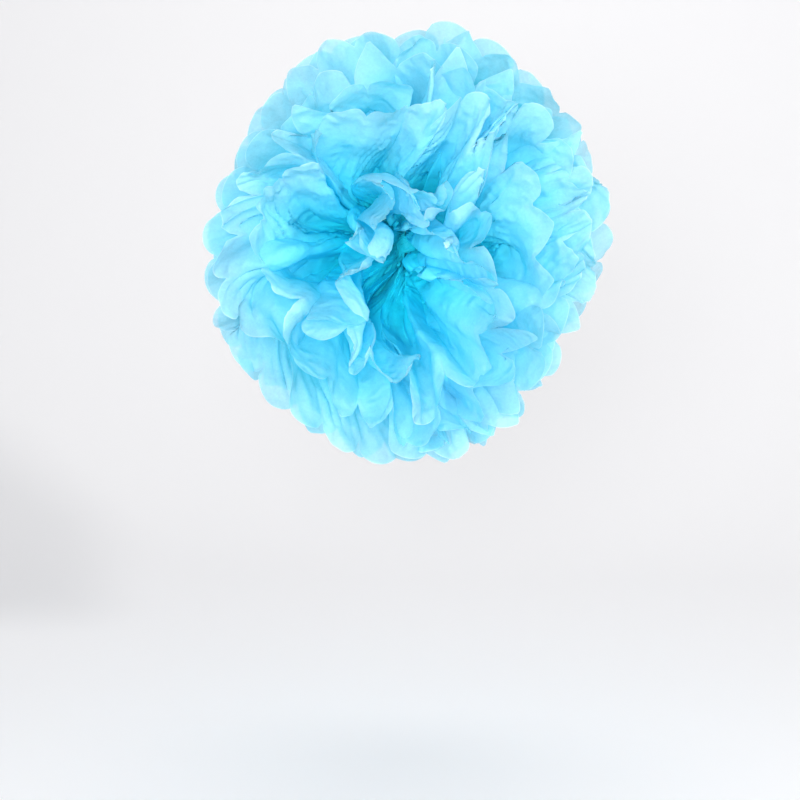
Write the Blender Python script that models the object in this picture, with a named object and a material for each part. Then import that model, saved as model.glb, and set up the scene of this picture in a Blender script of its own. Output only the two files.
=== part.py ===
"""Tissue paper pom pom, in metres, +Z up.

Ten sheets of tissue are folded together into an accordion, cut round at the ends, tied round the
middle with wire and pulled apart one by one into nested cups. The flower faces -Y. The pleats run
left and right along X, and the seam between the left and right halves is the plane X = 0.
The origin is the middle of the tie's hanging eye.
"""

import math

import bmesh
import bpy
from mathutils import Vector

# The angle between each sheet's cone and the flower's axis, from the front to the back.
OPENINGS = tuple(math.radians(angle) for angle in (15, 28, 41, 55, 71, 89, 108, 127, 146, 165))
SHEETS = len(OPENINGS)
PLEATS = 14  # panels between creases, across one sheet
HALF_LENGTH = 0.1015  # from the tie to the cut ends, along the pleats
EXTRA_AT_SEAM = 0.008  # the outer panels were cut a little longer
LOBE_DEPTH = 0.005  # how far the rounded ends stand past the creases
PAPER = 0.0004  # wall of each sheet's solid
GAP = 0.00035  # between two sheets in the tie

CREASE_SWING = math.radians(4)  # each crease swings this far in or out of its sheet's cone

NECK_X = 0.0016  # the sheets stay this far from the seam outside the tie
NECK_HEIGHT = 0.006
BEND = 0.018  # where a sheet has turned from the tie to its own angle
MIDDLE = 0.060

WIRE = 0.0005  # radius
TWIST = 0.0008  # radius of the two twisted ends
WIRE_CLEAR = 0.0004
EYE_RADIUS = 0.0023
EYE_HEIGHT = 0.030  # from the middle of the tie to the middle of the eye

STACK = SHEETS * PAPER + (SHEETS - 1) * GAP
COLUMNS = 2 * PLEATS + 1
ROWS = (0.0, BEND, MIDDLE, HALF_LENGTH)


def clear_scene():
    for obj in list(bpy.data.objects):
        bpy.data.objects.remove(obj, do_unlink=True)


def make_material(name, color, roughness, metallic=0.0):
    material = bpy.data.materials.new(name)
    material.use_nodes = True
    shader = material.node_tree.nodes["Principled BSDF"]
    shader.inputs["Base Color"].default_value = (*color, 1.0)
    shader.inputs["Roughness"].default_value = roughness
    shader.inputs["Metallic"].default_value = metallic
    return material


def sheet_point(sheet, side, column, along):
    """A point of one half of a sheet: column counts half panels from the lower seam to the upper one."""
    azimuth = math.pi * (column / (COLUMNS - 1) - 0.5)
    is_crease = column % 2 == 0
    if along == HALF_LENGTH:
        along += EXTRA_AT_SEAM * math.sin(azimuth) ** 2 - (LOBE_DEPTH if is_crease else 0.0)
    swing = 0.0
    if is_crease and along > 0:
        swing = CREASE_SWING * (1 if column % 4 == 0 else -1)
    angle = OPENINGS[sheet] + swing
    # The sheet leaves the tie sideways, and has turned to its cone at BEND.
    turned = min(along, BEND)
    radial = turned * 0.5 * (1 + math.sin(angle)) + (along - turned) * math.sin(angle)
    forward = turned * 0.5 * math.cos(angle) + (along - turned) * math.cos(angle)
    stack_y = (sheet - (SHEETS - 1) / 2) * (PAPER + GAP)
    return Vector(
        (
            side * (NECK_X + radial * math.cos(azimuth)),
            stack_y - forward,
            math.sin(azimuth) * (NECK_HEIGHT / 2 + radial),
        )
    )


def make_sheet(sheet, place, material):
    """One folded sheet: a grid from its left cut end, through the tie, to its right cut end."""
    mesh = bmesh.new()
    lines = [(-1, along) for along in reversed(ROWS)] + [(1, along) for along in ROWS]
    rows = [
        [mesh.verts.new(sheet_point(sheet, side, column, along)) for column in range(COLUMNS)]
        for side, along in lines
    ]
    for lower, upper in zip(rows, rows[1:]):
        for column in range(COLUMNS - 1):
            mesh.faces.new((lower[column], upper[column], upper[column + 1], lower[column + 1]))
    data = bpy.data.meshes.new(f"sheet_{sheet + 1:02d}")
    mesh.to_mesh(data)
    mesh.free()
    obj = bpy.data.objects.new(data.name, data)
    bpy.context.scene.collection.objects.link(obj)
    obj.parent = place
    data.materials.append(material)
    wall = obj.modifiers.new("paper", "SOLIDIFY")
    wall.thickness = PAPER
    wall.offset = 0
    return obj


def tube(name, points, radius, cyclic, place):
    """A round tube along a polyline."""
    curve = bpy.data.curves.new(name, "CURVE")
    curve.dimensions = "3D"
    curve.bevel_depth = radius
    curve.bevel_resolution = 1
    curve.use_fill_caps = not cyclic
    spline = curve.splines.new("POLY")
    spline.points.add(len(points) - 1)
    for target, point in zip(spline.points, points):
        target.co = (*point, 1.0)
    spline.use_cyclic_u = cyclic
    obj = bpy.data.objects.new(name, curve)
    bpy.context.scene.collection.objects.link(obj)
    obj.parent = place
    return obj


def rounded_loop(half_y, half_z, corner, steps=4):
    """A rectangle with round corners in the plane X = 0."""
    points = []
    for quarter, (sign_y, sign_z) in enumerate(((1, 1), (-1, 1), (-1, -1), (1, -1))):
        for step in range(steps + 1):
            turn = math.pi / 2 * (quarter + step / steps)
            points.append(
                (
                    0.0,
                    sign_y * (half_y - corner) + corner * math.cos(turn),
                    sign_z * (half_z - corner) + corner * math.sin(turn),
                )
            )
    return points


def ring(center_z, radius, steps=16):
    angles = [2 * math.pi * step / steps for step in range(steps)]
    return [(0.0, radius * math.cos(a), center_z + radius * math.sin(a)) for a in angles]


def as_mesh(obj):
    """The curve's evaluated mesh, which a Boolean can take."""
    graph = bpy.context.evaluated_depsgraph_get()
    data = bpy.data.meshes.new_from_object(obj.evaluated_get(graph))
    made = bpy.data.objects.new(obj.name, data)
    bpy.context.scene.collection.objects.link(made)
    made.parent = obj.parent
    curve = obj.data
    bpy.data.objects.remove(obj, do_unlink=True)
    bpy.data.curves.remove(curve)
    return made


def make_tie(place, material):
    """The wire loop round the stack, its two ends twisted together, and the eye they are bent into."""
    half_y = STACK / 2 + WIRE_CLEAR + WIRE
    half_z = NECK_HEIGHT / 2 + WIRE_CLEAR + WIRE
    loop = tube("tie_wire", rounded_loop(half_y, half_z, 3 * WIRE), WIRE, True, place)
    eye = tube("eye", ring(EYE_HEIGHT, EYE_RADIUS), WIRE, True, place)
    ends = [(0.0, 0.0, half_z), (0.0, 0.0, EYE_HEIGHT - EYE_RADIUS)]
    twist = tube("twist", ends, TWIST, False, place)
    bpy.context.view_layer.update()
    loop, eye, twist = as_mesh(loop), as_mesh(eye), as_mesh(twist)
    loop.name = "tie_wire"
    for other in (twist, eye):
        other.hide_render = True
        other.display_type = "WIRE"
        union = loop.modifiers.new(other.name, "BOOLEAN")
        union.operation = "UNION"
        union.object = other
    loop.data.materials.append(material)


def main():
    clear_scene()
    place = bpy.data.objects.new("flower_center", None)
    bpy.context.scene.collection.objects.link(place)
    place.location = (0, 0, -EYE_HEIGHT)
    for sheet in range(SHEETS):
        tissue = make_material(f"tissue_{sheet + 1:02d}", (0.13, 0.67, 0.93), 0.75)
        make_sheet(sheet, place, tissue)
    make_tie(place, make_material("tie_steel", (0.62, 0.63, 0.65), 0.35, 1.0))


main()
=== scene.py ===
"""The looks of a tissue paper pom pom: ten gathered tissue sheets and their wire tie."""

import logging
import math
from dataclasses import dataclass
from enum import Enum

import bpy
import numpy as np
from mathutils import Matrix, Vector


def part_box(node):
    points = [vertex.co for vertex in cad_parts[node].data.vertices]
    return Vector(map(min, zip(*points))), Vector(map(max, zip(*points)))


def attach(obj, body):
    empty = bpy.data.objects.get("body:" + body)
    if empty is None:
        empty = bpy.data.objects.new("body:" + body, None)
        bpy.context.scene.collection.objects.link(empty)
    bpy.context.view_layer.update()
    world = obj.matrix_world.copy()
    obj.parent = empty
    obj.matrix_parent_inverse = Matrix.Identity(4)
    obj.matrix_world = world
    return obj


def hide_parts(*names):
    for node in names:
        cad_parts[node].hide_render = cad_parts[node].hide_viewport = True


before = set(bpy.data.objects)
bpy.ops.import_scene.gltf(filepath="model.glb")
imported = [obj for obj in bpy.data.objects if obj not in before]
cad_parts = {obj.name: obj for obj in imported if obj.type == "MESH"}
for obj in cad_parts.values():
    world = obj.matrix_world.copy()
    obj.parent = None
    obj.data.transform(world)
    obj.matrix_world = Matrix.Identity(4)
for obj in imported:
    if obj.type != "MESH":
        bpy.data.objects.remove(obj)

log = logging.getLogger("pom_pom")

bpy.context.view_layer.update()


LATTICE = 64  # random values along each side of a noise table, which then repeats
SWAY = 0.0032  # how far one wave moves the flower's paper
SWAY_WAVES = 5
SWAY_SEED = 12


class Half(Enum):
    """The two fans of one sheet, on either side of the tie."""

    LEFT = -1
    RIGHT = 1


def smooth_step(low: float, high: float, x: np.ndarray) -> np.ndarray:
    """A cubic step: 0 below low, 1 above high, with level ends.

    Args:
        low: Where the step starts.
        high: Where the step ends.
        x: The values to step.

    Returns:
        3 t^2 - 2 t^3, where t is how far x is from low to high, kept from 0 to 1.
    """
    t = np.clip((x - low) / (high - low), 0.0, 1.0)
    return t * t * (3.0 - 2.0 * t)


def lattice_noise(x: np.ndarray, y: np.ndarray, seed: int) -> np.ndarray:
    """Smooth noise from -1 to 1: random values on whole numbers, blended by cubic steps.

    Args:
        x: First coordinate of each point.
        y: Second coordinate of each point.
        seed: Which lattice of random values to use.

    Returns:
        The noise at each point.
    """
    table = np.random.default_rng(seed).uniform(-1.0, 1.0, (LATTICE, LATTICE))
    column, row = np.floor(x).astype(int), np.floor(y).astype(int)
    across = smooth_step(0.0, 1.0, x - column)
    along = smooth_step(0.0, 1.0, y - row)

    def corner(step_x: int, step_y: int) -> np.ndarray:
        """The lattice's value at a corner of each point's cell."""
        return table[(column + step_x) % LATTICE, (row + step_y) % LATTICE]

    low = corner(0, 0) * (1 - across) + corner(1, 0) * across
    high = corner(0, 1) * (1 - across) + corner(1, 1) * across
    return low * (1 - along) + high * along


def facets(x: np.ndarray, y: np.ndarray, seed: int) -> np.ndarray:
    """Crumpled facets from -1 to 1: flat triangles that meet in sharp creases.

    The square lattice is bent by slow noise, and each of its cells is split along its diagonal.

    Args:
        x: First coordinate of each point.
        y: Second coordinate of each point.
        seed: Which heights to use.

    Returns:
        The height at each point, straight-line blended from the three corners of its triangle.
    """
    table = np.random.default_rng(seed).uniform(-1.0, 1.0, (LATTICE, LATTICE))
    u = x + 0.5 * y + 0.8 * lattice_noise(0.45 * x, 0.45 * y, seed + 1)
    v = y - 0.3 * x + 0.8 * lattice_noise(0.45 * x + 9.0, 0.45 * y, seed + 2)
    column, row = np.floor(u).astype(int), np.floor(v).astype(int)
    across, along = u - column, v - row
    lower = across + along < 1.0
    swing = np.where(lower, 0, 1)
    near = table[(column + swing) % LATTICE, (row + swing) % LATTICE]
    over = table[(column + 1 - swing) % LATTICE, (row + swing) % LATTICE]
    up = table[(column + swing) % LATTICE, (row + 1 - swing) % LATTICE]
    part_over = np.where(lower, across, 1.0 - across)
    part_up = np.where(lower, along, 1.0 - along)
    return near + (over - near) * part_over + (up - near) * part_up


@dataclass(frozen=True)
class TissueFinish:
    """Thin dyed tissue: matte, lets light through, and shows a little of what is behind it."""

    name: str = "blue_tissue"
    front: tuple[float, float, float] = (0.45, 0.76, 0.89)
    # Painted shade: the colour below stands in for the darker, more saturated look where more
    # layers of paper overlap near the tie, and it is blended into the front colour towards the rim.
    painted_layer_shade: tuple[float, float, float] = (0.02, 0.84, 0.96)
    through: tuple[float, float, float] = (0.01, 0.79, 0.955)
    clear_tint: tuple[float, float, float] = (0.92, 0.985, 1.0)
    translucent_share: float = 0.42
    clear_share: float = 0.24
    roughness: float = 0.5
    gloss: float = 0.12
    crinkle: float = 0.9
    crinkle_depth: float = 0.0016
    crinkle_scale: float = 150.0
    fibre_scale: float = 700.0
    cloud_scale: float = 38.0
    # Painted highlight: the pale colour below is laid along the cut edge, where thin rims catch
    # light, and partly stands for the paler fuzz of the cut fibres. The band after it is how far in
    # from the cut it reaches.
    edge: tuple[float, float, float] = (0.72, 0.92, 0.98)
    painted_highlight_band: float = 0.008
    # Where the painted shade near the tie gives way to the front colour, as shares of the way from
    # tie to cut.
    painted_shade_range: tuple[float, float] = (0.35, 1.0)
    front_drift: tuple[float, float] = (0.80, 1.14)
    deep_drift: tuple[float, float] = (0.95, 1.04)

    def material(self) -> bpy.types.Material:
        """Builds the tissue's node material.

        Returns:
            A mix of a matte, a translucent and a clear shader, with fibres and crinkles, painted
            shade towards the tie and a painted highlight on the cut edge.
        """
        made = bpy.data.materials.new(self.name)
        made.use_nodes = True
        nodes, links = made.node_tree.nodes, made.node_tree.links
        nodes.clear()
        out = nodes.new("ShaderNodeOutputMaterial")
        coordinates = nodes.new("ShaderNodeTexCoord")

        fibre = nodes.new("ShaderNodeTexNoise")
        fibre.inputs["Scale"].default_value = self.fibre_scale
        fibre.inputs["Detail"].default_value = 4.0
        fibre.inputs["Distortion"].default_value = 0.6
        links.new(coordinates.outputs["Object"], fibre.inputs["Vector"])

        cloud = nodes.new("ShaderNodeTexNoise")
        cloud.inputs["Scale"].default_value = self.cloud_scale
        cloud.inputs["Detail"].default_value = 3.0
        links.new(coordinates.outputs["Object"], cloud.inputs["Vector"])

        fibre_sum = nodes.new("ShaderNodeMath")
        fibre_sum.operation = "MULTIPLY_ADD"
        fibre_sum.inputs[1].default_value = 0.6
        links.new(fibre.outputs["Fac"], fibre_sum.inputs[0])
        links.new(cloud.outputs["Fac"], fibre_sum.inputs[2])

        amount = fibre_sum.outputs[0]
        front = self.shaded(nodes, links, amount, self.front, self.front_drift)
        painted_layer_shade = self.shaded(nodes, links, amount, self.painted_layer_shade, self.deep_drift)
        from_tie = self.from_tie(nodes, links)
        # Painted shade: a darker, more saturated colour towards the tie, where more layers overlap
        # and shade one another.
        front = self.blended(nodes, links, from_tie, self.painted_shade_range, painted_layer_shade, front)
        # Painted highlight along the cut edge, where thin rims catch light, partly the paler fuzz
        # of the cut fibres.
        front = self.blended(nodes, links, from_tie, (1.0 - self.painted_highlight_band, 1.0), front, self.edge)
        through = self.shaded(nodes, links, amount, self.through, self.deep_drift)

        wrinkle = nodes.new("ShaderNodeTexNoise")
        wrinkle.noise_type = "RIDGED_MULTIFRACTAL"
        wrinkle.inputs["Scale"].default_value = self.crinkle_scale
        wrinkle.inputs["Detail"].default_value = 3.0
        links.new(coordinates.outputs["Object"], wrinkle.inputs["Vector"])
        bump = nodes.new("ShaderNodeBump")
        bump.inputs["Strength"].default_value = self.crinkle
        bump.inputs["Distance"].default_value = self.crinkle_depth
        links.new(wrinkle.outputs["Fac"], bump.inputs["Height"])

        matte = nodes.new("ShaderNodeBsdfPrincipled")
        matte.inputs["Roughness"].default_value = self.roughness
        matte.inputs["Specular IOR Level"].default_value = self.gloss
        links.new(front, matte.inputs["Base Color"])
        links.new(bump.outputs["Normal"], matte.inputs["Normal"])

        glow = nodes.new("ShaderNodeBsdfTranslucent")
        links.new(through, glow.inputs["Color"])
        links.new(bump.outputs["Normal"], glow.inputs["Normal"])

        paper = nodes.new("ShaderNodeMixShader")
        paper.inputs[0].default_value = self.translucent_share
        links.new(matte.outputs[0], paper.inputs[1])
        links.new(glow.outputs[0], paper.inputs[2])

        clear = nodes.new("ShaderNodeBsdfTransparent")
        clear.inputs["Color"].default_value = (*self.clear_tint, 1.0)
        sheet = nodes.new("ShaderNodeMixShader")
        sheet.inputs[0].default_value = self.clear_share
        links.new(paper.outputs[0], sheet.inputs[1])
        links.new(clear.outputs[0], sheet.inputs[2])
        links.new(sheet.outputs[0], out.inputs["Surface"])
        return made

    def shaded(
        self,
        nodes: bpy.types.Nodes,
        links: bpy.types.NodeLinks,
        amount: bpy.types.NodeSocket,
        color: tuple[float, float, float],
        drift: tuple[float, float],
    ) -> bpy.types.NodeSocket:
        """A colour that drifts between a darker and a lighter one with the fibres.

        Args:
            nodes: The material's nodes.
            links: The material's links.
            amount: The socket that the colour follows.
            color: The middle colour.
            drift: What the colour is multiplied by where amount is low, and where it is high.

        Returns:
            The colour's socket.
        """
        ramp = nodes.new("ShaderNodeValToRGB")
        for element, position, factor in zip(ramp.color_ramp.elements, (0.45, 1.0), drift):
            element.position = position
            element.color = (*(min(1.0, c * factor) for c in color), 1.0)
        links.new(amount, ramp.inputs["Fac"])
        return ramp.outputs["Color"]

    def from_tie(self, nodes: bpy.types.Nodes, links: bpy.types.NodeLinks) -> bpy.types.NodeSocket:
        """How far along its pleats a point is, from 0 at the tie to 1 at the cut.

        That is |2 V - 1| of the cut map.

        Args:
            nodes: The material's nodes.
            links: The material's links.

        Returns:
            The socket that holds it.
        """
        cut_map = nodes.new("ShaderNodeUVMap")
        cut_map.uv_map = "cut"
        split = nodes.new("ShaderNodeSeparateXYZ")
        links.new(cut_map.outputs["UV"], split.inputs[0])
        both_ways = nodes.new("ShaderNodeMath")
        both_ways.operation = "MULTIPLY_ADD"
        both_ways.inputs[1].default_value = 2.0
        both_ways.inputs[2].default_value = -1.0
        links.new(split.outputs["Y"], both_ways.inputs[0])
        size = nodes.new("ShaderNodeMath")
        size.operation = "ABSOLUTE"
        links.new(both_ways.outputs[0], size.inputs[0])
        return size.outputs[0]

    def blended(
        self,
        nodes: bpy.types.Nodes,
        links: bpy.types.NodeLinks,
        place: bpy.types.NodeSocket,
        span: tuple[float, float],
        near: bpy.types.NodeSocket,
        far: bpy.types.NodeSocket | tuple[float, float, float],
    ) -> bpy.types.NodeSocket:
        """Blends from one colour to another while a place goes through a span.

        Args:
            nodes: The material's nodes.
            links: The material's links.
            place: The socket that holds the place.
            span: Where the blend starts and ends.
            near: The colour before the span.
            far: The colour after it, as a socket or as its values.

        Returns:
            The blend's socket.
        """
        part = nodes.new("ShaderNodeMapRange")
        part.interpolation_type = "SMOOTHSTEP"
        part.inputs["From Min"].default_value, part.inputs["From Max"].default_value = span
        links.new(place, part.inputs["Value"])
        blend = nodes.new("ShaderNodeMix")
        blend.data_type = "RGBA"
        start, end = (socket for socket in blend.inputs if socket.type == "RGBA")
        result = next(socket for socket in blend.outputs if socket.type == "RGBA")
        links.new(part.outputs["Result"], blend.inputs[0])
        links.new(near, start)
        if isinstance(far, tuple):
            end.default_value = (*far, 1.0)
        else:
            links.new(far, end)
        return result


@dataclass(frozen=True)
class WireFinish:
    """Soft steel craft wire, brushed along its length."""

    name: str = "tie_steel"
    color: tuple[float, float, float] = (0.62, 0.63, 0.65)
    roughness: float = 0.34

    def material(self) -> bpy.types.Material:
        """Builds the wire's node material.

        Returns:
            A metal whose roughness drifts with drawing marks.
        """
        made = bpy.data.materials.new(self.name)
        made.use_nodes = True
        nodes, links = made.node_tree.nodes, made.node_tree.links
        metal = nodes["Principled BSDF"]
        metal.inputs["Base Color"].default_value = (*self.color, 1.0)
        metal.inputs["Metallic"].default_value = 1.0
        coordinates = nodes.new("ShaderNodeTexCoord")
        marks = nodes.new("ShaderNodeTexNoise")
        marks.inputs["Scale"].default_value = 900.0
        links.new(coordinates.outputs["Object"], marks.inputs["Vector"])
        spread = nodes.new("ShaderNodeMapRange")
        spread.inputs["To Min"].default_value = self.roughness - 0.1
        spread.inputs["To Max"].default_value = self.roughness + 0.12
        links.new(marks.outputs["Fac"], spread.inputs["Value"])
        links.new(spread.outputs["Result"], metal.inputs["Roughness"])
        return made


@dataclass(frozen=True)
class Cut:
    """The flat cut of every sheet, and the grid that carries it."""

    pleats: int = 14
    pleat: float = 0.024
    half_length: float = 0.0985
    extra_at_seam: float = 0.006
    lobe_depth: float = 0.0078
    slip: float = 0.0030
    spike_power: float = 1.05
    spike_depth: float = 3.0
    spike_reach: float = 0.006
    columns_a_pleat: int = 17
    rows: int = 80

    @property
    def width(self) -> float:
        """The sheet's size across its pleats."""
        return self.pleats * self.pleat

    @property
    def columns(self) -> int:
        """How many columns the grid has."""
        return self.pleats * self.columns_a_pleat + 1

    @property
    def area(self) -> float:
        """The flat area: the rectangle less what the round lobe ends leave off."""
        lost = self.lobe_depth * (1 - math.pi / 4)
        return 2 * self.width * (self.half_length + self.extra_at_seam / 2 - lost)

    def across(self) -> np.ndarray:
        """The distance across the sheet of each grid column."""
        return np.linspace(0.0, self.width, self.columns)

    def rim(self, across: np.ndarray, seed: int, spikes: tuple[int, ...] = ()) -> np.ndarray:
        """The cut end's distance from the tie.

        Each lobe is half a superellipse between two creases, and the lobes near the seam reach
        further by the square of the sine of their azimuth. Hand cutting leaves each lobe its own
        depth, and its own power from pointed to round.

        Args:
            across: The distance across the sheet of each column.
            seed: Which hand cut it is.
            spikes: Which lobes, counted from the lower seam, were cut to long points.

        Returns:
            The length of each column from the tie to the cut end.
        """
        place = np.mod(across / self.pleat, 1.0) * 2 - 1
        lobe_number = np.floor(across / self.pleat)
        pointed = smooth_step(0.1, 0.35, lattice_noise(lobe_number + 0.5, 0 * across + 9, seed))
        spike = np.isin(lobe_number, spikes)
        power = np.where(spike, self.spike_power, 2.0 - 0.9 * pointed)
        lobe = np.clip(1 - np.abs(place) ** power, 0, 1) ** (1 / power) - 1
        azimuth = math.pi * (across / self.width - 0.5)
        own = 1.0 + 0.35 * lattice_noise(lobe_number + 0.5, 0 * across, seed) + 0.5 * pointed
        slip = self.slip * lattice_noise(across / self.pleat * 0.45, 0 * across + 4, seed)
        reach = self.half_length + self.extra_at_seam * np.sin(azimuth) ** 2 + slip
        own = np.where(spike, self.spike_depth, own)
        reach = np.where(spike, reach + self.spike_reach, reach)
        return reach + self.lobe_depth * own * lobe


@dataclass(frozen=True)
class Meander:
    """How paper of a fixed width fits into a shorter arc: its slope swings from side to side.

    The slope angle follows a rounded square wave that changes sign at each crease. The wider it
    swings, the less arc the paper takes up, and past a right angle it folds over itself.
    """

    sharpness: float = 4.6
    widest_swing: float = 1.95

    def wave(self, phase: np.ndarray) -> np.ndarray:
        """The rounded square wave, from -1 to 1.

        Args:
            phase: Radians, pi for each pleat.

        Returns:
            tanh(k sin phase) / tanh(k), where k is the sharpness.
        """
        return np.tanh(self.sharpness * np.sin(phase)) / math.tanh(self.sharpness)

    def swing_for(self, share: np.ndarray) -> np.ndarray:
        """The swing at which the paper takes up this share of its own width.

        Args:
            share: Arc taken up over width of paper, from 0 to 1.

        Returns:
            The swing in radians, read backwards from the mean cosine of the slope over one pleat.
        """
        swings = np.linspace(0.0, self.widest_swing, 80)
        phases = np.linspace(0.0, math.pi, 121)
        shares = np.cos(swings[:, None] * self.wave(phases)[None, :]).mean(axis=1)
        return np.interp(-share, -shares, swings)


@dataclass(frozen=True)
class Paper:
    """Settles a grid of points until it is paper again: its cells keep their flat sizes.

    Each round pulls every edge and diagonal of the grid back to its flat length, half of the
    cells at a time, smooths the paper a little between its creases, and then eases it back to
    where it was hung. What doesn't fit buckles into wrinkles.
    """

    rounds: int = 60
    pull: float = 0.85
    hold: float = 0.02
    stiffness: float = 0.03

    def settle(
        self, start: np.ndarray, cell: np.ndarray, fixed_rows: int, crease_every: int
    ) -> np.ndarray:
        """Runs the rounds.

        Args:
            start: Points by row, by column, by X, Y and Z.
            cell: The flat size of a cell across and along the sheet.
            fixed_rows: How many rows next to the tie stay put.
            crease_every: How many columns lie between two creases.

        Returns:
            The settled points.
        """
        points = start.copy()
        free = np.ones(points.shape[:2])[..., None]
        free[:fixed_rows] = 0.0
        bends = np.ones(points.shape[1])
        bends[::crease_every] = 0.0
        diagonal = float(np.hypot(*cell))
        moves = ((0, 1, cell[0]), (1, 0, cell[1]), (1, 1, diagonal), (1, -1, diagonal))
        for _ in range(self.rounds):
            for down, over, length in moves:
                for first in (0, 1):
                    self.pull_edges(points, free, down, over, length, first)
            middle = (points[:, :-2] + points[:, 2:]) / 2 - points[:, 1:-1]
            points[:, 1:-1] += self.stiffness * middle * (bends[1:-1, None] * free[:, 1:-1])
            middle = (points[:-2] + points[2:]) / 2 - points[1:-1]
            points[1:-1] += 2 * self.stiffness * middle * free[1:-1]
            points += self.hold * (start - points)
        return points

    def pull_edges(
        self, points: np.ndarray, free: np.ndarray, down: int, over: int, length: float, first: int
    ) -> None:
        """Pulls every second edge of one direction back to its flat length, in place.

        Args:
            points: The grid of points.
            free: 1 where a point may move, 0 where it may not.
            down: Rows from an edge's first end to its second.
            over: Columns from an edge's first end to its second.
            length: The edge's flat length.
            first: 0 for the even edges, 1 for the odd ones.
        """
        rows, columns = points.shape[:2]
        row = slice(first, rows - down, 2) if down else slice(0, rows)
        row_end = slice(first + down, rows, 2) if down else slice(0, rows)
        if down:
            low, high = max(0, -over), columns - max(0, over)
            column, column_end = slice(low, high), slice(low + over, high + over)
        else:
            column, column_end = slice(first, columns - 1, 2), slice(first + 1, columns, 2)
        a, b = points[row, column], points[row_end, column_end]
        count, span = min(a.shape[0], b.shape[0]), min(a.shape[1], b.shape[1])
        a, b = a[:count, :span], b[:count, :span]
        free_a = free[row, column][:count, :span]
        free_b = free[row_end, column_end][:count, :span]
        way = b - a
        now = np.linalg.norm(way, axis=-1, keepdims=True) + 1e-9
        step = self.pull * (1 - length / now) * way / np.maximum(free_a + free_b, 1.0)
        a += step * free_a
        b -= step * free_b


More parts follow.
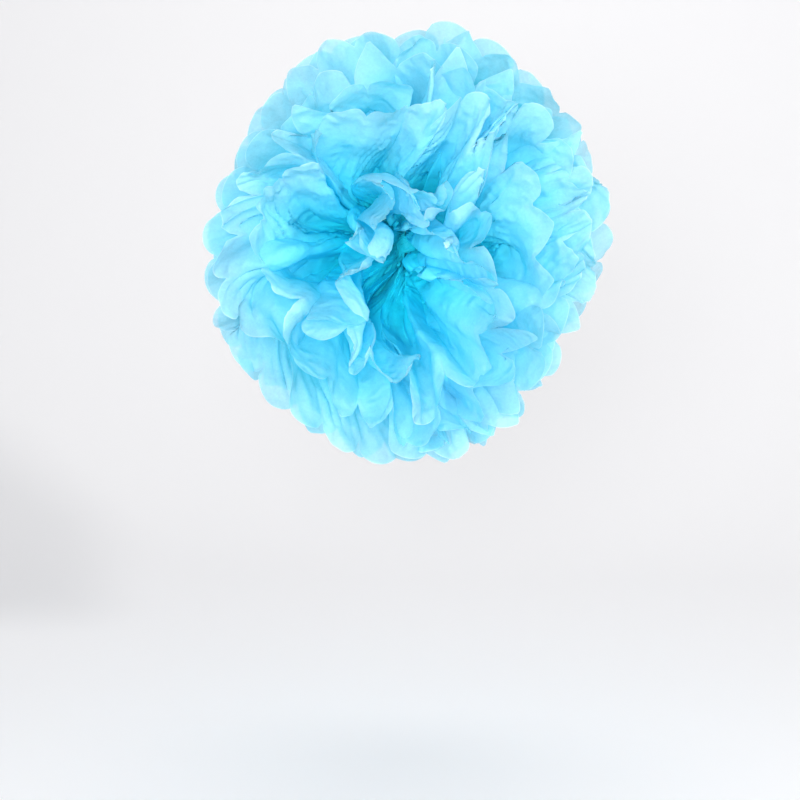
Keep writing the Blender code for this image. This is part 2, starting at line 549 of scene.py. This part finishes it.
@dataclass
class FoldedSheet:
    """One tissue sheet: two fans that spread from the tie into a cup.

    Attributes:
        number: 1 for the innermost front sheet, up to the innermost back sheet.
        openings: For each half, pairs of azimuth and opening angle in degrees. Azimuth runs from
            -90 at the lower seam to 90 at the upper seam, and the opening angle is 0 at the
            flower's front axis and 180 at its back.
        curl: How far the rim turns on past the sheet's own opening angle, in degrees.
        wander: How far the opening angle strays from place to place, in degrees.
        petal_pleats: How many pleats one slow wave of the rim takes up.
        looseness: How much of the slack the slow waves take up at the rim, from 0 to 1.
        spikes: For each half, the lobes that were cut to long points.
    """

    number: int
    openings: dict[Half, tuple[tuple[int, int], ...]]
    curl: float
    wander: float
    petal_pleats: float
    looseness: float
    spikes: dict[Half, tuple[int, ...]]
    cut: Cut
    meander: Meander
    paper: Paper
    center: np.ndarray
    stack_offset: float

    SEAM_CLEARANCE = 0.0016  # from the seam to each half, at the tie
    SOFT_TOUCH = 0.0012  # how softly a half is kept on its side of the seam
    NECK_HALF_HEIGHT = 0.003
    NECK_LENGTH = 0.012  # what the tie holds still
    BEND = 0.016  # where the paper has turned from the tie to its own angle
    OVERLAP = 9.0  # degrees by which one half laps over the other at the seam
    UPPER_LEAN = 9.0  # degrees by which the upper seam leans to the right
    LOWER_LEAN = 4.0
    PETAL_LEAN = 16.0  # degrees by which petals lean round the flower
    DENTS = ((0.0042, 0.022, 0.028), (0.0042, 0.012, 0.075))  # depth, width, length, unsettled
    CRUMPLES = ((0.0028, 0.014, 0.042), (0.0020, 0.012, 0.014), (0.0008, 0.0062, 0.0075))

    @property
    def node(self) -> str:
        """The CAD node that this sheet stands for."""
        return f"sheet_{self.number:02d}"

    def opening(self, half: Half, line: np.ndarray) -> np.ndarray:
        """The opening angle of each column, smoothly through the half's stated angles.

        Args:
            half: Which fan.
            line: How far each column is from the lower seam to the upper one, from 0 to 1.

        Returns:
            Radians from the flower's front axis.
        """
        azimuth = 180.0 * (line - 0.5)
        stated = np.array(self.openings[half])
        straight = np.interp(azimuth, stated[:, 0], stated[:, 1])
        window = np.hanning(2 * self.cut.columns_a_pleat + 1)
        padded = np.pad(straight, self.cut.columns_a_pleat, mode="edge")
        return np.radians(np.convolve(padded, window / window.sum(), mode="valid"))

    def seam_ends(self, half: Half, share: np.ndarray) -> tuple[np.ndarray, np.ndarray]:
        """The azimuths of a fan's two ends, which lean across the seam away from the tie.

        Both seams lean to the right, and one half overlaps the other by turns from sheet to sheet.

        Args:
            half: Which fan.
            share: How far each row is from the tie to the rim, from 0 to 1.

        Returns:
            The azimuths in radians of the lower end and the upper end.
        """
        away = smooth_step(0.35, 0.8, share)
        laps_over = (self.number % 2 == 0) == (half is Half.LEFT)
        over = self.OVERLAP if laps_over else -0.3 * self.OVERLAP
        toward = -half.value
        upper = math.pi / 2 + np.radians(over + toward * self.UPPER_LEAN) * away
        lower = -math.pi / 2 - np.radians(over + toward * self.LOWER_LEAN) * away
        return lower, upper

    def seed(self, half: Half) -> int:
        """The half's own number for its noise."""
        return 97 * self.number + (31 if half is Half.LEFT else 0)

    def cup(self, half: Half, along: np.ndarray) -> np.ndarray:
        """The smooth surface that the fan's folds swing about.

        Down each line from the tie, the opening angle grows from sideways into its own, wanders,
        and curls at the rim. Adding up its sine and cosine gives the distance from the axis and
        the distance forward.

        Args:
            half: Which fan.
            along: The distance from the tie of each row, as a column of numbers.

        Returns:
            Points by row from the tie to the rim, by column from the lower seam to the upper one.
        """
        seed, step = self.seed(half), along[1, 0]
        line = np.linspace(0.0, 1.0, self.cut.columns)[None, :]
        share = along / along[-1, 0]
        place = line * self.cut.pleats + 0 * along
        wander = lattice_noise(place * 0.34, share * 1.4 + 3, seed)
        wander *= np.radians(self.wander) * share
        curl = 1 + 4.0 * lattice_noise(place * 0.5, 0 * share, seed + 5)
        curl *= np.radians(self.curl) * share**4
        turned = smooth_step(0.0, self.BEND, along)
        own = self.opening(half, line[0])[None, :]
        angle = math.pi / 2 + (own - math.pi / 2) * turned + wander + curl
        radial = np.maximum(np.cumsum(np.sin(angle) * step, axis=0), 0.0005)
        forward = np.cumsum(np.cos(angle) * step, axis=0)
        lean = lattice_noise(place * 0.4, share * 1.1, seed + 21)
        lean = np.radians(self.PETAL_LEAN) * lean * share**2
        lower, upper = self.seam_ends(half, share)
        azimuth = lower + (upper - lower) * line + lean * np.sqrt(np.sin(math.pi * line))
        return np.stack(
            (
                self.SEAM_CLEARANCE + radial * np.cos(azimuth),
                self.stack_offset - forward,
                np.sin(azimuth) * (self.NECK_HALF_HEIGHT + radial),
            ),
            axis=-1,
        )

    def fan(self, half: Half) -> np.ndarray:
        """Works out one fan as a grid of points.

        The paper's slope across the pleats is a meander that takes up the arc there is at each
        distance from the tie, plus a slow wave. Adding up its cosine gives how far round the cup
        each column lies, and adding up its sine gives how far off the cup it stands. The grid is
        then settled as paper and crumpled along its normals.

        Args:
            half: Which fan.

        Returns:
            Points by row from the tie to the rim, by column across the sheet, by X, Y and Z.
        """
        cut, seed = self.cut, self.seed(half)
        across = cut.across()
        along = np.linspace(0.0, cut.half_length + cut.extra_at_seam, cut.rows)[:, None]
        step_across, step_along = across[1], along[1, 0]
        share = along / along[-1, 0]
        across_grid = across[None, :] + 0 * along
        pleat_place = across_grid / cut.pleat

        cup = self.cup(half, along)
        run = np.cumsum(np.linalg.norm(np.diff(cup, axis=1), axis=2), axis=1)
        run = np.pad(run, ((0, 0), (1, 0)))
        arc = run[:, -1:]

        # Some pleats stay bunched, and others open into wide petals.
        spread = 1.0 + 0.45 * lattice_noise(pleat_place * 0.45, share * 0.8, seed + 9)
        spread /= spread.mean(axis=1, keepdims=True)
        taken = np.clip(arc / cut.width * spread, 0.0, 0.985)

        # Near the tie the paper keeps its pleats. Towards the rim they open, and slow waves take up
        # the slack.
        loose = self.looseness * (0.75 + 0.5 * lattice_noise(pleat_place * 0.5, share, seed + 11))
        loose *= smooth_step(0.15, 0.75, share)
        short_swing = self.meander.swing_for(np.clip(taken ** (1 - loose), 0.0, 0.99))
        slow_swing = self.meander.swing_for(np.clip(taken**loose, 0.0, 0.99))
        drift = 0.30 * lattice_noise(pleat_place * 0.3, 0 * share, seed + 13)
        slow_phase = 2 * math.pi * (pleat_place / self.petal_pleats + drift + 0.618 * self.number)
        slope = short_swing * self.meander.wave(math.pi * pleat_place)
        slope += slow_swing * np.sin(slow_phase)
        ahead = np.cumsum(np.cos(slope), axis=1)
        ahead = (ahead - ahead[:, :1]) / (ahead[:, -1:] - ahead[:, :1]) * arc
        spot = np.stack([np.interp(a, b, np.arange(across.size)) for a, b in zip(ahead, run)])
        base, normal = between_columns(cup, spot), between_columns(grid_normals(cup), spot)

        off = np.cumsum(np.sin(slope) * step_across, axis=1)
        line = np.linspace(0.0, 1.0, across.size)[None, :]
        off = off - off[:, :1] * (1 - line) - off[:, -1:] * line
        off -= off.mean(axis=1, keepdims=True)
        room = 0.75 * np.hypot(base[..., 0], base[..., 2])
        off = room * np.tanh(off / room)
        worn = lattice_noise(pleat_place * 0.35, share * 2, seed + 19)
        worn = 0.5 + 0.5 * smooth_step(-0.3, 0.5, worn)
        bent = smooth_step(0.15, 0.6, share) * worn
        (depth, width, length), (fold_depth, fold_width, fold_length) = self.DENTS
        off += depth * facets(across_grid / width, along / length, seed + 17) * bent
        folds = facets(across_grid / fold_width, along / fold_length, seed + 23)
        off += fold_depth * folds * bent * share
        points = base + off[..., None] * normal

        # The two halves meet at the seam and don't pass through each other, except at its two ends.
        inside = smooth_step(0.03, 0.16, line) * smooth_step(0.03, 0.16, 1 - line)
        kept = self.SOFT_TOUCH * np.logaddexp(0.0, points[..., 0] / self.SOFT_TOUCH)
        points[..., 0] += inside * (kept - points[..., 0])
        points = swayed(points * np.array((half.value, 1.0, 1.0)))

        cell, fixed_rows = np.array((step_across, step_along)), int(self.NECK_LENGTH / step_along)
        points = self.paper.settle(points, cell, fixed_rows, cut.columns_a_pleat)
        crumple = np.zeros_like(across_grid)
        for step, (depth, width, length) in enumerate(self.CRUMPLES):
            pattern = facets(across_grid / width, along / length, seed + 40 + 2 * step)
            crumple += depth * pattern * (worn if step else 1.0)
        points += (crumple * smooth_step(0.1, 0.5, share))[..., None] * grid_normals(points)
        rim = cut.rim(across, seed + 50, self.spikes.get(half, ()))
        return self.trim(points, rim, step_along) + self.center

    def trim(self, points: np.ndarray, rim: np.ndarray, step_along: float) -> np.ndarray:
        """Moves the last rows along the pleats so that the last one lies on the cut's lobes.

        Args:
            points: The untrimmed grid.
            rim: The length of each column from the tie to the cut end.
            step_along: The distance along the pleats between two rows.

        Returns:
            The same grid, each column read off again at evenly shared distances up to its rim.
        """
        rows = np.arange(points.shape[0])[:, None] / (points.shape[0] - 1)
        full = step_along * (points.shape[0] - 1)
        wanted = rows * (full + (rim[None, :] - full) * smooth_step(0.75, 1.0, rows)) / step_along
        low = np.clip(np.floor(wanted).astype(int), 0, points.shape[0] - 2)
        part = (wanted - low)[..., None]
        column = np.arange(points.shape[1])[None, :]
        return points[low, column] * (1 - part) + points[low + 1, column] * part

    def build(self, tissue: bpy.types.Material) -> bpy.types.Object:
        """Builds the sheet's mesh, from its left rim through the tie to its right rim.

        Args:
            tissue: The sheet's material.

        Returns:
            The sheet as one object.
        """
        left, right = self.fan(Half.LEFT), self.fan(Half.RIGHT)
        grid = np.concatenate((left[::-1], right), axis=0)
        rows, columns = grid.shape[:2]
        mesh = grid_mesh(f"tissue_{self.number:02d}", grid)
        uv = mesh.uv_layers.new(name="cut")
        across, along = np.meshgrid(np.arange(columns), np.arange(rows))
        flat = np.stack((across / (columns - 1) * self.cut.pleats, along / (rows - 1)), -1)
        corner = np.empty(len(mesh.loops), np.int32)
        mesh.loops.foreach_get("vertex_index", corner)
        uv.data.foreach_set("uv", flat.reshape(-1, 2)[corner].astype(np.float32).ravel())
        mesh.materials.append(tissue)
        made = bpy.data.objects.new(mesh.name, mesh)
        bpy.context.scene.collection.objects.link(made)
        return made

    def dress(self, tissue: bpy.types.Material) -> None:
        """Builds the sheet and tells the frame what it is.

        Args:
            tissue: The sheet's material.
        """
        made = self.build(tissue)
        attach(made, "root")
        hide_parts(self.node)
        log.info("%s: %d faces", made.name, len(made.data.polygons))


def swayed(points: np.ndarray) -> np.ndarray:
    """Leans all of the flower's paper this way and that, so that no half mirrors the other.

    Each move is the sum of plane waves of random direction, and it fades out at the tie. Sheets
    that nest before it still nest after it.

    Args:
        points: Points from the flower's middle, with X, Y and Z last.

    Returns:
        The moved points.
    """
    draw = np.random.default_rng(SWAY_SEED)
    moved = np.zeros_like(points)
    for _ in range(SWAY_WAVES):
        way = draw.normal(size=3)
        way *= 2 * math.pi / (draw.uniform(0.09, 0.16) * np.linalg.norm(way))
        push, phase = draw.normal(size=3), draw.uniform(0, 2 * math.pi)
        moved += push * np.sin(points @ way + phase)[..., None]
    distance = np.linalg.norm(points, axis=-1, keepdims=True)
    return points + SWAY * moved * smooth_step(0.008, 0.07, distance)


def grid_normals(grid: np.ndarray) -> np.ndarray:
    """The unit normal at each point of a grid: the cross product of its two directions.

    Args:
        grid: Points by row, by column, by X, Y and Z.

    Returns:
        The normals, in the same layout.
    """
    normals = np.cross(np.gradient(grid, axis=1), np.gradient(grid, axis=0))
    return normals / (np.linalg.norm(normals, axis=-1, keepdims=True) + 1e-12)


def between_columns(grid: np.ndarray, spot: np.ndarray) -> np.ndarray:
    """Reads each row of a grid at places between its columns, by straight lines.

    Args:
        grid: Points by row, by column, by X, Y and Z.
        spot: The place to read, in columns, by row and by reading.

    Returns:
        The points read.
    """
    row = np.arange(grid.shape[0])[:, None]
    low = np.clip(np.floor(spot).astype(int), 0, grid.shape[1] - 2)
    part = (spot - low)[..., None]
    return grid[row, low] * (1 - part) + grid[row, low + 1] * part


def grid_mesh(name: str, grid: np.ndarray) -> bpy.types.Mesh:
    """A smooth mesh of quads over a grid of points.

    Args:
        name: The mesh's name.
        grid: Points by row, by column, by X, Y and Z.

    Returns:
        The mesh.
    """
    rows, columns = grid.shape[:2]
    index = np.arange(rows * columns).reshape(rows, columns)
    corners = (index[:-1, :-1], index[:-1, 1:], index[1:, 1:], index[1:, :-1])
    quads = np.stack(corners, axis=-1).reshape(-1, 4)
    mesh = bpy.data.meshes.new(name)
    mesh.vertices.add(rows * columns)
    mesh.vertices.foreach_set("co", grid.astype(np.float32).ravel())
    mesh.loops.add(quads.size)
    mesh.loops.foreach_set("vertex_index", quads.astype(np.int32).ravel())
    mesh.polygons.add(len(quads))
    mesh.polygons.foreach_set("loop_start", np.arange(0, quads.size, 4, dtype=np.int32))
    mesh.update(calc_edges=True)
    mesh.shade_smooth()
    return mesh


@dataclass
class Flower:
    """The ten sheets, nested from the front of the flower to its back."""

    cut: Cut
    meander: Meander
    paper: Paper
    center: np.ndarray
    stack: float = 0.0075

    HAND_SET = {
        1: {
            Half.LEFT: ((-90, 44), (-60, 32), (-30, 14), (0, 4), (30, 5), (60, 14), (90, 20)),
            Half.RIGHT: ((-90, 48), (-65, 36), (-35, 18), (-10, 8), (20, 4), (50, 12), (90, 18)),
        },
        2: {
            Half.LEFT: ((-90, 62), (-60, 52), (-30, 36), (0, 28), (30, 30), (60, 38), (90, 44)),
            Half.RIGHT: ((-90, 64), (-60, 54), (-30, 38), (0, 30), (30, 32), (60, 40), (90, 46)),
        },
        3: {
            Half.LEFT: ((-90, 70), (-60, 66), (-30, 50), (0, 44), (30, 42), (60, 42), (90, 52)),
            Half.RIGHT: ((-90, 70), (-60, 60), (-30, 50), (0, 46), (30, 48), (70, 58), (90, 56)),
        },
        4: {
            Half.LEFT: ((-90, 78), (-60, 80), (-35, 66), (0, 58), (30, 58), (60, 60), (90, 64)),
            Half.RIGHT: ((-90, 76), (-60, 62), (-30, 58), (0, 62), (30, 62), (70, 64), (90, 68)),
        },
        5: {
            Half.LEFT: ((-90, 86), (-55, 92), (-30, 78), (0, 72), (30, 72), (60, 76), (90, 80)),
            Half.RIGHT: ((-90, 84), (-60, 60), (-40, 58), (0, 76), (30, 76), (70, 78), (90, 82)),
        },
        6: {
            Half.LEFT: ((-90, 92), (-55, 98), (-30, 88), (0, 86), (30, 86), (60, 90), (90, 92)),
            Half.RIGHT: ((-90, 92), (-60, 66), (-35, 64), (0, 90), (40, 88), (90, 90)),
        },
        7: {
            Half.LEFT: ((-90, 108), (-30, 106), (30, 108), (90, 110)),
            Half.RIGHT: ((-90, 108), (-60, 122), (-35, 124), (0, 108), (90, 108)),
        },
        8: {
            Half.LEFT: ((-90, 127), (90, 127)),
            Half.RIGHT: ((-90, 127), (-60, 136), (-35, 136), (0, 127), (90, 127)),
        },
    }
    SPIKES = {
        2: {Half.LEFT: (2, 10), Half.RIGHT: (5, 11)},
        3: {Half.LEFT: (11,), Half.RIGHT: (9, 12)},
        4: {Half.LEFT: (12,), Half.RIGHT: (10,)},
        5: {Half.RIGHT: (11,)},
    }
    EVEN = (15, 28, 41, 55, 71, 89, 108, 127, 146, 165)

    def openings(self, number: int) -> dict[Half, tuple[tuple[int, int], ...]]:
        """The opening angles of one sheet.

        Args:
            number: The sheet, from 1 at the front.

        Returns:
            Pairs of azimuth and opening angle for each half.
        """
        even = self.EVEN[number - 1]
        return self.HAND_SET.get(number, {half: ((-90, even), (90, even)) for half in Half})

    def dress(self, tissue: bpy.types.Material) -> None:
        """Builds every sheet.

        Args:
            tissue: The sheets' material.
        """
        sheets = len(self.EVEN)
        for number in range(1, sheets + 1):
            place = (number - 1) / (sheets - 1) - 0.5
            is_front = number <= sheets / 2
            curl = 12.0 if is_front else -12.0
            sheet = FoldedSheet(
                number=number,
                openings=self.openings(number),
                curl=-14.0 if number == 1 else curl,
                wander=24.0 if is_front else 14.0,
                petal_pleats=4.2 + 0.5 * math.sin(2.4 * number),
                looseness=0.5 if number == 1 else 0.66,
                spikes=self.SPIKES.get(number, {}),
                cut=self.cut,
                meander=self.meander,
                paper=self.paper,
                center=self.center,
                stack_offset=place * self.stack,
            )
            sheet.dress(tissue)


@dataclass
class Studio:
    """A pale sweep of paper, soft lights and the camera."""

    center: np.ndarray
    floor_drop: float = 0.27
    distance: float = 1.03
    camera_rise: float = 0.07
    camera_side: float = 0.085
    view_width: float = 0.408
    aim: tuple[float, float, float] = (-0.0045, 0.0, -0.081)
    sensor: float = 36.0
    spot_power: float = 46.0
    spot_degrees: float = 7.0

    def sweep(self) -> None:
        """A floor that curves up into a backdrop: a straight run, a quarter circle and a wall."""
        radius, wide, near, far, tall = 1.3, 4.0, -2.0, 0.4, 3.4
        floor = self.center[2] - self.floor_drop
        turn = np.linspace(0.0, math.pi / 2, 48)
        depth = np.concatenate(([near], far + radius * np.sin(turn), [far + radius]))
        height = np.concatenate(([0.0], radius * (1 - np.cos(turn)), [tall]))
        side = np.array([-wide, wide])
        grid = np.stack(
            (
                np.repeat(side[None, :], depth.size, axis=0),
                np.repeat(depth[:, None], 2, axis=1),
                np.repeat(height[:, None] + floor, 2, axis=1),
            ),
            axis=-1,
        )
        mesh = grid_mesh("paper_sweep", grid)
        pale = bpy.data.materials.new("pale_sweep")
        pale.use_nodes = True
        shader = pale.node_tree.nodes["Principled BSDF"]
        shader.inputs["Base Color"].default_value = (0.95, 0.94, 0.95, 1.0)
        shader.inputs["Roughness"].default_value = 0.9
        mesh.materials.append(pale)
        made = bpy.data.objects.new("paper_sweep", mesh)
        bpy.context.scene.collection.objects.link(made)

    def soft_light(
        self,
        name: str,
        place: tuple[float, float, float],
        size: float,
        power: float,
        color: tuple[float, float, float],
        aim: tuple[float, float, float] = (0.0, 0.0, 0.0),
    ) -> None:
        """A square area light.

        Args:
            name: The light's name.
            place: Its place from the flower's middle.
            size: The length of its side.
            power: Its power in watts.
            color: Its colour.
            aim: What it faces, from the flower's middle.
        """
        data = bpy.data.lights.new(name, "AREA")
        data.size = size
        data.energy = power
        data.color = color
        made = bpy.data.objects.new(name, data)
        made.location = tuple(self.center + np.array(place))
        made.rotation_euler = facing(np.array(made.location), self.center + np.array(aim))
        bpy.context.scene.collection.objects.link(made)

    def center_light(self) -> None:
        """A narrow soft spot from the front that reaches down between the inner sheets."""
        data = bpy.data.lights.new("center_light", "SPOT")
        data.energy = self.spot_power
        data.spot_size = math.radians(self.spot_degrees)
        data.spot_blend = 1.0
        data.shadow_soft_size = 0.06
        made = bpy.data.objects.new("center_light", data)
        made.location = tuple(self.center + np.array((0.06, -1.2, 0.06)))
        made.rotation_euler = facing(np.array(made.location), self.center)
        bpy.context.scene.collection.objects.link(made)

    def lights(self) -> None:
        """A key light from the upper right, and softer ones from the left, the front and above."""
        self.soft_light("key_light", (1.0, -1.15, 0.5), 0.15, 13.0, (1.0, 0.99, 0.97))
        self.soft_light("fill_light", (-0.8, -1.3, -0.05), 0.4, 4.5, (0.98, 0.99, 1.0))
        self.soft_light("front_light", (0.0, -1.5, 0.2), 0.4, 14.0, (1.0, 1.0, 1.0))
        self.soft_light("wall_light", (0.0, 0.45, 1.3), 0.8, 5.6, (1.0, 1.0, 1.0), (0.0, 1.6, 0.0))
        self.center_light()
        world = bpy.data.worlds.new("soft_room")
        world.use_nodes = True
        sky = world.node_tree.nodes["Background"]
        sky.inputs["Color"].default_value = (0.96, 0.98, 1.0, 1.0)
        sky.inputs["Strength"].default_value = 0.42
        bpy.context.scene.world = world
        bpy.context.scene.view_settings.view_transform = "Standard"

    def bounces(self) -> None:
        """Lets light bounce between the pale layers as often as it does in real tissue."""
        cycles = bpy.context.scene.cycles
        cycles.diffuse_bounces = 6
        cycles.transparent_max_bounces = 12

    def camera(self) -> None:
        """A camera a little above and to the right of the flower's axis, aimed below its middle."""
        data = bpy.data.cameras.new("camera")
        data.sensor_width = self.sensor
        data.lens = self.sensor * self.distance / self.view_width
        made = bpy.data.objects.new("camera", data)
        place = self.center + np.array((self.camera_side, -self.distance, self.camera_rise))
        target = self.center + np.array(self.aim)
        made.location = tuple(place)
        made.rotation_euler = facing(place, target)
        bpy.context.scene.collection.objects.link(made)
        bpy.context.scene.camera = made


def facing(place: np.ndarray, target: np.ndarray) -> tuple[float, float, float]:
    """The rotation that points a camera or light at a target, with its top up.

    Args:
        place: Where it stands.
        target: What it looks at.

    Returns:
        Euler angles in radians: the tilt from straight down, none, and the turn about Z.
    """
    way = target - place
    level = math.hypot(way[0], way[1])
    return (math.pi / 2 + math.atan2(way[2], level), 0.0, math.atan2(-way[0], way[1]))


def dress_tie(wire: bpy.types.Material) -> None:
    """Gives the CAD tie its wire material.

    Args:
        wire: The material.
    """
    tie = bpy.data.objects["tie_wire"]
    for slot in tie.material_slots:
        slot.material = wire
    log.info("%s: dressed", tie.name)


def main() -> None:
    """Builds the backdrop, the sheets, the tie, the lights and the camera, in that order."""
    logging.basicConfig(level=logging.INFO, format="%(name)s %(message)s")
    sheets = np.array([*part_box("sheet_05"), *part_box("sheet_06")])
    center = np.array((0.0, 0.0, (sheets[:, 2].min() + sheets[:, 2].max()) / 2))
    log.info("middle of the flower at %s", center)
    studio = Studio(center=center)
    studio.sweep()
    flower = Flower(cut=Cut(), meander=Meander(), paper=Paper(), center=center)
    flower.dress(TissueFinish().material())
    dress_tie(WireFinish().material())
    studio.lights()
    studio.bounces()
    studio.camera()


if __name__ == "__main__":
    main()
